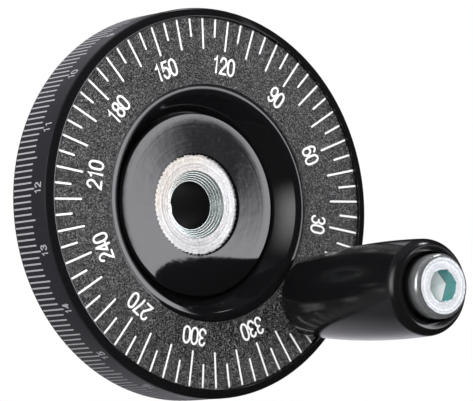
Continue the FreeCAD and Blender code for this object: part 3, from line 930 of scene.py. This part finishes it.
def screw_zinc():
    """Bluish zinc with painted shade deep in the grip's recess: green blue on the socket's walls, pale on
    its floor and tip.
    """
    finish, colour, rough, normal = turned_zinc(
        "screw_zinc", (0.74, 0.77, 0.78), (0.72, 0.77, 0.79), HANDLE_AXIS, 0.42
    )
    inside = finish.maths("LESS_THAN", finish.from_axis(HANDLE_AXIS), SOCKET_CORNER + 0.02 * MM)
    depth = finish.along("Y")
    below = finish.spread(depth, HEAD_FACE + 0.02 * MM, HEAD_FACE + 0.10 * MM)
    bottom = finish.maths("GREATER_THAN", depth, HEAD_FACE + SOCKET_DEPTH - 0.12 * MM)
    floor = finish.maths("MULTIPLY", inside, bottom)
    walls = finish.maths("SUBTRACT", finish.maths("MULTIPLY", inside, below), floor)
    deep = finish.spread(depth, HEAD_FACE + 1.6 * MM, HEAD_FACE + 3.2 * MM)
    # Painted shade: the head's side darkens towards black deeper in the grip's recess, where shadow falls.
    recess_shade = finish.blend(deep, colour, (0.03, 0.03, 0.03))
    recess_shade_and_teal_walls = finish.blend(walls, recess_shade, (0.12, 0.36, 0.36))
    socket_dull = finish.maths("MAXIMUM", finish.maths("MULTIPLY", walls, 0.6), floor)
    dull = finish.maths("MAXIMUM", socket_dull, finish.maths("MULTIPLY", below, 0.15))
    return finish.take(
        Base_Color=finish.blend(floor, recess_shade_and_teal_walls, (0.95, 0.95, 0.95)),
        Roughness=finish.maths("MULTIPLY", rough, finish.spread(below, 0.0, 1.0, 1.0, 0.5)),
        Metallic=finish.maths("SUBTRACT", 1.0, dull),
        Normal=normal,
    )


def bare_steel(name, colour, roughness):
    finish = Finish(name, colour, roughness, metallic=1.0)
    streaks = finish.noise(0.25 * MM, 4.0)
    dark = tuple(0.6 * part for part in colour)
    rough = finish.spread(streaks, 0.3, 0.7, roughness * 0.8, roughness * 1.25)
    normal = finish.emboss(streaks, 0.01 * MM)
    return finish.take(Base_Color=finish.blend(streaks, dark, colour), Roughness=rough, Normal=normal)


def dull_plastic(name, colour, roughness):
    finish = Finish(name, colour, roughness)
    grain = finish.noise(0.4 * MM, 3.0)
    rough = finish.spread(grain, 0.3, 0.7, roughness * 0.85, roughness * 1.15)
    return finish.take(Roughness=rough, Normal=finish.emboss(grain, 0.01 * MM))


def dress(node, material):
    for slot in NODES[node].material_slots:
        slot.material = material


def make_pieces():
    dress("dial_plate", dial_paint())
    dress("hub_set_screw", bare_steel("black_oxide", (0.06, 0.06, 0.065), 0.4))
    dress("handle_insert", bare_steel("insert_steel", (0.55, 0.54, 0.52), 0.35))
    dress("handle_sleeve", bare_steel("sleeve_steel", (0.58, 0.58, 0.58), 0.25))
    dress("thrust_washer", dull_plastic("washer_nylon", (0.03, 0.03, 0.03), 0.5))
    dress("dial_adhesive_ring", dull_plastic("adhesive", (0.05, 0.05, 0.05), 0.6))
    white = ink("dial_ink", (0.92, 0.92, 0.92))
    grey = ink("rim_ink", (0.34, 0.34, 0.36))
    # Painted shade: the bore's steel is near black, standing in for the shadow inside the hole.
    shaded_bore = bare_steel("painted_shade_bore", (0.030, 0.032, 0.030), 0.55)
    new_piece("dial_print", mesh_from(build_dial_print, "dial_print"), "wheel", "dial_black", white)
    new_piece("rim_print", mesh_from(build_rim_print, "rim_print"), "wheel", "wheel_moulding", grey)
    wheel = new_piece("moulded_wheel", recut_wheel(), "wheel", "wheel_moulding", wheel_moulding())
    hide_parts("wheel_body")
    grip_mesh = mesh_from(build_grip, "barrel_grip")
    grip = new_piece("barrel_grip", grip_mesh, "grip", "grip_moulding", grip_moulding())
    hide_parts("handle_grip")
    bush = new_piece("knurled_bush", bush_mesh(), "wheel", "bush_zinc", bush_zinc(), shaded_bore)
    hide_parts("hub_bush")
    screw_mesh = mesh_from(build_screw, "socket_screw", sharp=12)
    screw = new_piece("socket_screw", screw_mesh, "wheel", "screw_zinc", screw_zinc())
    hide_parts("handle_screw")


# Studio

def make_floor():
    """A pale floor under the rim: one-sided, as the camera stands lower, and open to mirrored rays."""
    size = 3.0
    mesh = bpy.data.meshes.new("floor")
    ways = ((-1, -1), (1, -1), (1, 1), (-1, 1))
    corners = [(size * across, size * along, -RIM) for across, along in ways]
    mesh.from_pydata(corners, [], [(0, 1, 2, 3)])
    floor = bpy.data.objects.new("floor", mesh)
    bpy.context.scene.collection.objects.link(floor)
    finish = Finish("floor", (0.82, 0.82, 0.82), 0.9)
    clear = finish.add("ShaderNodeBsdfTransparent")
    back = finish.add("ShaderNodeNewGeometry").outputs["Backfacing"]
    mirrored = finish.add("ShaderNodeLightPath").outputs["Is Glossy Ray"]
    open_way = finish.maths("MAXIMUM", back, mirrored)
    mix = finish.add("ShaderNodeMixShader", {0: open_way, 1: finish.shader.outputs[0], 2: clear.outputs[0]})
    finish.tree.links.new(mix.outputs[0], finish.tree.nodes["Material Output"].inputs["Surface"])
    mesh.materials.append(finish.material)


def away(azimuth, elevation):
    """Direction from the wheel: azimuth from the front towards +X, elevation above the horizon."""
    a = math.radians(azimuth)
    e = math.radians(elevation)
    return Vector((math.sin(a) * math.cos(e), -math.cos(a) * math.cos(e), math.sin(e)))


# A soft patch of light round the wheel: where it begins and ends in azimuth and in elevation, each with
# how softly, in degrees. Its upper edge may climb with the azimuth from where it begins.
Glow = namedtuple("Glow", "left left_soft right right_soft low low_soft high high_soft climb level colour")

WHITE = (1.0, 1.0, 1.0)
VIOLET = (1.0, 0.97, 1.07)
COOL = (0.99, 0.98, 1.03)
GLOWS = [
    Glow(192, 15, 250, 8, -38, 25, 45, 15, 0.0, 0.25, VIOLET),      # backdrop, left half
    Glow(138, 8, 192, 15, -38, 25, 0, 5, 0.0, 0.95, VIOLET),        # backdrop, right half
    Glow(152, 6, 192, 15, 3, 5, 42, 15, 0.0, 0.95, VIOLET),         # backdrop, right half, upper part
    Glow(29.5, 1.0, 62, 10, -4, 5, 10, 3, 0.8, 4.0, COOL),          # large soft box at the front right
    Glow(-106, 6, -74, 9, -8, 13, 30, 22, 0.0, 2.4, WHITE),         # soft box at the left
    Glow(60, 3, 76, 3, 57, 3, 67, 3, 0.0, 13.0, WHITE),             # small lamp above the handle
    Glow(-180, 1, 180, 1, 58, 12, 120, 10, 0.0, 0.12, VIOLET),      # ceiling
]
ROOM = 0.022
LAMP_CORE = (36.2, 6.8)      # dark middle of the large soft box, azimuth and elevation
LAMP_CORE_SIZE = 2.5         # its radius in degrees
LAMP_CORE_SOFT = 0.55        # how far its edge is blurred, as a share of its radius
LAMP_CORE_LEVEL = 0.05


def make_world():
    """White to the camera; to the object, a dark room with a white backdrop and soft boxes."""
    world = bpy.data.worlds.new("studio")
    bpy.context.scene.world = world
    world.use_nodes = True
    sky = Nodes(world.node_tree)
    sky.tree.nodes.clear()
    ray = sky.add("ShaderNodeSeparateXYZ", {0: sky.add("ShaderNodeTexCoord").outputs["Generated"]})
    front = sky.maths("MULTIPLY", ray.outputs["Y"], -1)
    azimuth = sky.maths("DEGREES", sky.maths("ARCTAN2", ray.outputs["X"], front))
    elevation = sky.maths("DEGREES", sky.maths("ARCSINE", ray.outputs["Z"]))
    total = (ROOM, ROOM, ROOM)
    for glow in GLOWS:
        share = glow_share(sky, glow, azimuth, elevation)
        if glow.climb:
            share = sky.maths("MULTIPLY", share, lamp_core(sky, azimuth, elevation))
        colour = [glow.level * part for part in glow.colour]
        light = sky.add("ShaderNodeVectorMath", {0: colour, "Scale": share}, operation="SCALE")
        total = sky.add("ShaderNodeVectorMath", {0: total, 1: light.outputs[0]}, operation="ADD").outputs[0]
    studio = sky.add("ShaderNodeBackground", {"Color": total})
    white = sky.add("ShaderNodeBackground", {"Color": (1, 1, 1, 1)})
    seen = sky.add("ShaderNodeLightPath").outputs["Is Camera Ray"]
    mix = sky.add("ShaderNodeMixShader", {0: seen, 1: studio.outputs[0], 2: white.outputs[0]})
    sky.add("ShaderNodeOutputWorld", {"Surface": mix.outputs[0]})


def glow_share(sky, glow, azimuth, elevation):
    """How strongly a patch shines in a direction, from 0 to 1."""
    middle = (glow.left + glow.right) / 2
    across = sky.maths("WRAP", sky.maths("SUBTRACT", azimuth, middle), 180, -180)
    left = glow.left - middle
    right = glow.right - middle
    climbed = sky.maths("MULTIPLY", sky.maths("SUBTRACT", across, left), glow.climb)
    below_top = sky.maths("SUBTRACT", elevation, climbed)

    def edge(value, place, soft, before, after):
        return sky.spread(value, place - soft, place + soft, before, after, smooth=True)

    edges = [
        edge(across, left, glow.left_soft, 0.0, 1.0),
        edge(across, right, glow.right_soft, 1.0, 0.0),
        edge(elevation, glow.low, glow.low_soft, 0.0, 1.0),
        edge(below_top, glow.high, glow.high_soft, 1.0, 0.0),
    ]
    share = edges[0]
    for factor in edges[1:]:
        share = sky.maths("MULTIPLY", share, factor)
    return share


def lamp_core(sky, azimuth, elevation):
    """Share of the large soft box's light that is left round its dark middle."""
    across = sky.maths("SUBTRACT", azimuth, LAMP_CORE[0])
    up = sky.maths("SUBTRACT", elevation, LAMP_CORE[1])
    square = sky.maths("ADD", sky.maths("MULTIPLY", across, across), sky.maths("MULTIPLY", up, up))
    apart = sky.maths("SQRT", square)
    start = LAMP_CORE_SIZE * (1 - LAMP_CORE_SOFT)
    end = LAMP_CORE_SIZE * (1 + LAMP_CORE_SOFT)
    return sky.spread(apart, start, end, LAMP_CORE_LEVEL, 1.0, smooth=True)


def soft_box(name, azimuth, elevation, distance, width, height, level):
    """An even lamp that faces the wheel, its radiance given by the level, left out of reflections."""
    lamp = bpy.data.lights.new(name, "AREA")
    lamp.shape = "RECTANGLE"
    lamp.size = width
    lamp.size_y = height
    lamp.energy = level * width * height * math.pi
    way = away(azimuth, elevation)
    box = bpy.data.objects.new(name, lamp)
    box.location = way * distance
    box.rotation_euler = way.to_track_quat("Z", "Y").to_euler()
    box.visible_glossy = False
    bpy.context.scene.collection.objects.link(box)


def make_lights():
    soft_box("key_box", azimuth=-42, elevation=18, distance=0.45, width=0.25, height=0.25, level=9.4)
    soft_box("top_box", azimuth=0, elevation=88, distance=0.9, width=0.8, height=0.8, level=3.4)


def make_camera():
    data = bpy.data.cameras.new("camera")
    data.lens = CAMERA_LENS
    data.sensor_width = 36
    data.clip_start = 0.01
    camera = bpy.data.objects.new("camera", data)
    back = away(CAMERA_AZIMUTH, CAMERA_ELEVATION)
    turn = (-back).to_track_quat("-Z", "Y").to_matrix().to_4x4()
    roll = Matrix.Rotation(math.radians(CAMERA_ROLL), 4, "Z")
    camera.matrix_world = Matrix.Translation(CAMERA_AIM + back * CAMERA_DISTANCE) @ turn @ roll
    bpy.context.scene.collection.objects.link(camera)
    bpy.context.scene.camera = camera


make_pieces()
make_floor()
make_world()
make_lights()
make_camera()
bpy.context.scene.view_settings.view_transform = "Standard"
